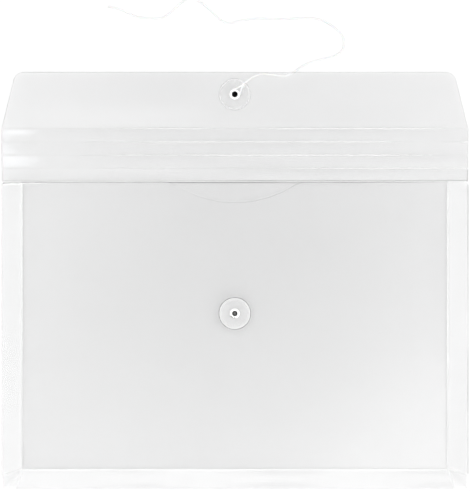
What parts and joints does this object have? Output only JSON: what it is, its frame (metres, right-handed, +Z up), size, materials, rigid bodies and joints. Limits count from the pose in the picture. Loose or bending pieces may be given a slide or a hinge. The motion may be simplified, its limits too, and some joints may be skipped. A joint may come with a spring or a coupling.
{
  "type": "string tie envelope",
  "caption": "Clear plastic document envelope with expanding gussets, a scored fold-over flap, a thumb notch and a button-and-string closure, lying open on its back.",
  "frame": {"origin": "on the table under the middle of the open envelope's outline, without the string", "axes": "+X across the envelope, +Y from its bottom edge towards the flap, +Z up out of its front"},
  "size_m": [0.3686, 0.3881, 0.0112],
  "materials": {
    "clear_film": "translucent polypropylene sheet, soft gloss",
    "clear_disc": "moulded clear plastic, gloss",
    "clear_collar": "moulded natural plastic, satin",
    "nickel": "bright nickel plate",
    "white_string": "waxed white cotton"
  },
  "bodies": {
    "back": {"back_panel": "clear_film"},
    "flap_strip_1": {"flap_strip_1": "clear_film"},
    "flap_strip_2": {"flap_strip_2": "clear_film"},
    "flap_strip_3": {"flap_strip_3": "clear_film"},
    "flap_strip_4": {"flap_strip_4": "clear_film"},
    "flap": {"flap_panel": "clear_film", "flap_spacer": "clear_collar", "flap_eyelet": "nickel", "flap_washer": "nickel", "string_noose": "white_string", "string_knot": "white_string", "tie_string": "white_string"},
    "flap_button": {"flap_disc": "clear_disc"},
    "gusset_back_left": {"gusset_back_left": "clear_film"},
    "gusset_back_right": {"gusset_back_right": "clear_film"},
    "gusset_back_bottom": {"gusset_back_bottom": "clear_film", "corner_tuck_back_left": "clear_film", "corner_tuck_back_right": "clear_film"},
    "gusset_front_left": {"gusset_front_left": "clear_film"},
    "gusset_front_right": {"gusset_front_right": "clear_film"},
    "gusset_front_bottom": {"gusset_front_bottom": "clear_film", "corner_tuck_front_left": "clear_film", "corner_tuck_front_right": "clear_film"},
    "front": {"front_panel": "clear_film", "front_spacer": "clear_collar", "front_eyelet": "nickel", "front_washer": "nickel"},
    "front_button": {"front_disc": "clear_disc"}
  },
  "joints": [
    {"name": "flap_fold", "type": "hinge", "parent": "back", "child": "flap_strip_1", "pos_m": [0, 0.07826, 0], "axis": [1, 0, 0], "range_deg": [0, 35.25]},
    {"name": "flap_crease_2", "type": "hinge", "parent": "flap_strip_1", "child": "flap_strip_2", "pos_m": [0, 0.08869, 0.00068], "axis": [1, 0, 0], "range_deg": [0, 35.25]},
    {"name": "flap_crease_3", "type": "hinge", "parent": "flap_strip_2", "child": "flap_strip_3", "pos_m": [0, 0.09911, 0.00137], "axis": [1, 0, 0], "range_deg": [0, 35.25]},
    {"name": "flap_crease_4", "type": "hinge", "parent": "flap_strip_3", "child": "flap_strip_4", "pos_m": [0, 0.10954, 0.00205], "axis": [1, 0, 0], "range_deg": [0, 35.25]},
    {"name": "flap_crease_5", "type": "hinge", "parent": "flap_strip_4", "child": "flap", "pos_m": [0, 0.11997, 0.00274], "axis": [1, 0, 0], "range_deg": [0, 35.25]},
    {"name": "flap_button_turn", "type": "hinge", "parent": "flap", "child": "flap_button", "pos_m": [0, 0.14691, 0.0045], "axis": [0, 0.0655, -0.9979], "continuous": true},
    {"name": "pocket_spread", "type": "hinge", "parent": "back", "child": "gusset_back_left", "pos_m": [-0.16828, 0, 0], "axis": [0, 1, 0], "range_deg": [0, 56.15], "deforming": ["corner_tuck_back_left", "corner_tuck_back_right", "corner_tuck_front_left", "corner_tuck_front_right"]},
    {"name": "weld_left", "type": "hinge", "parent": "gusset_back_left", "child": "gusset_front_left", "pos_m": [-0.18371, 0, 0.00375], "axis": [0, 1, 0], "range_deg": [-112.29, 0]},
    {"name": "front_crease_left", "type": "hinge", "parent": "gusset_front_left", "child": "front", "pos_m": [-0.16828, 0, 0.0075], "axis": [0, 1, 0], "range_deg": [0, 56.15]},
    {"name": "back_crease_right", "type": "hinge", "parent": "back", "child": "gusset_back_right", "pos_m": [0.16828, 0, 0], "axis": [0, -1, 0], "range_deg": [0, 56.15]},
    {"name": "weld_right", "type": "hinge", "parent": "gusset_back_right", "child": "gusset_front_right", "pos_m": [0.18371, 0, 0.00375], "axis": [0, -1, 0], "range_deg": [-112.29, 0]},
    {"name": "back_crease_bottom", "type": "hinge", "parent": "back", "child": "gusset_back_bottom", "pos_m": [0, -0.14834, 0], "axis": [-1, 0, 0], "range_deg": [0, 56.15]},
    {"name": "weld_bottom", "type": "hinge", "parent": "gusset_back_bottom", "child": "gusset_front_bottom", "pos_m": [0, -0.16377, 0.00375], "axis": [-1, 0, 0], "range_deg": [-112.29, 0]},
    {"name": "front_button_turn", "type": "hinge", "parent": "front", "child": "front_button", "pos_m": [0, -0.02554, 0.0075], "axis": [0, 0, 1], "continuous": true}
  ],
  "couplings": [
    {"joint": "flap_crease_2", "follows": "flap_fold", "ratio": 1},
    {"joint": "flap_crease_3", "follows": "flap_fold", "ratio": 1},
    {"joint": "flap_crease_4", "follows": "flap_fold", "ratio": 1},
    {"joint": "flap_crease_5", "follows": "flap_fold", "ratio": 1},
    {"joint": "weld_left", "follows": "pocket_spread", "ratio": -2},
    {"joint": "front_crease_left", "follows": "pocket_spread", "ratio": 1},
    {"joint": "back_crease_right", "follows": "pocket_spread", "ratio": 1},
    {"joint": "weld_right", "follows": "pocket_spread", "ratio": -2},
    {"joint": "back_crease_bottom", "follows": "pocket_spread", "ratio": 1},
    {"joint": "weld_bottom", "follows": "pocket_spread", "ratio": -2}
  ]
}
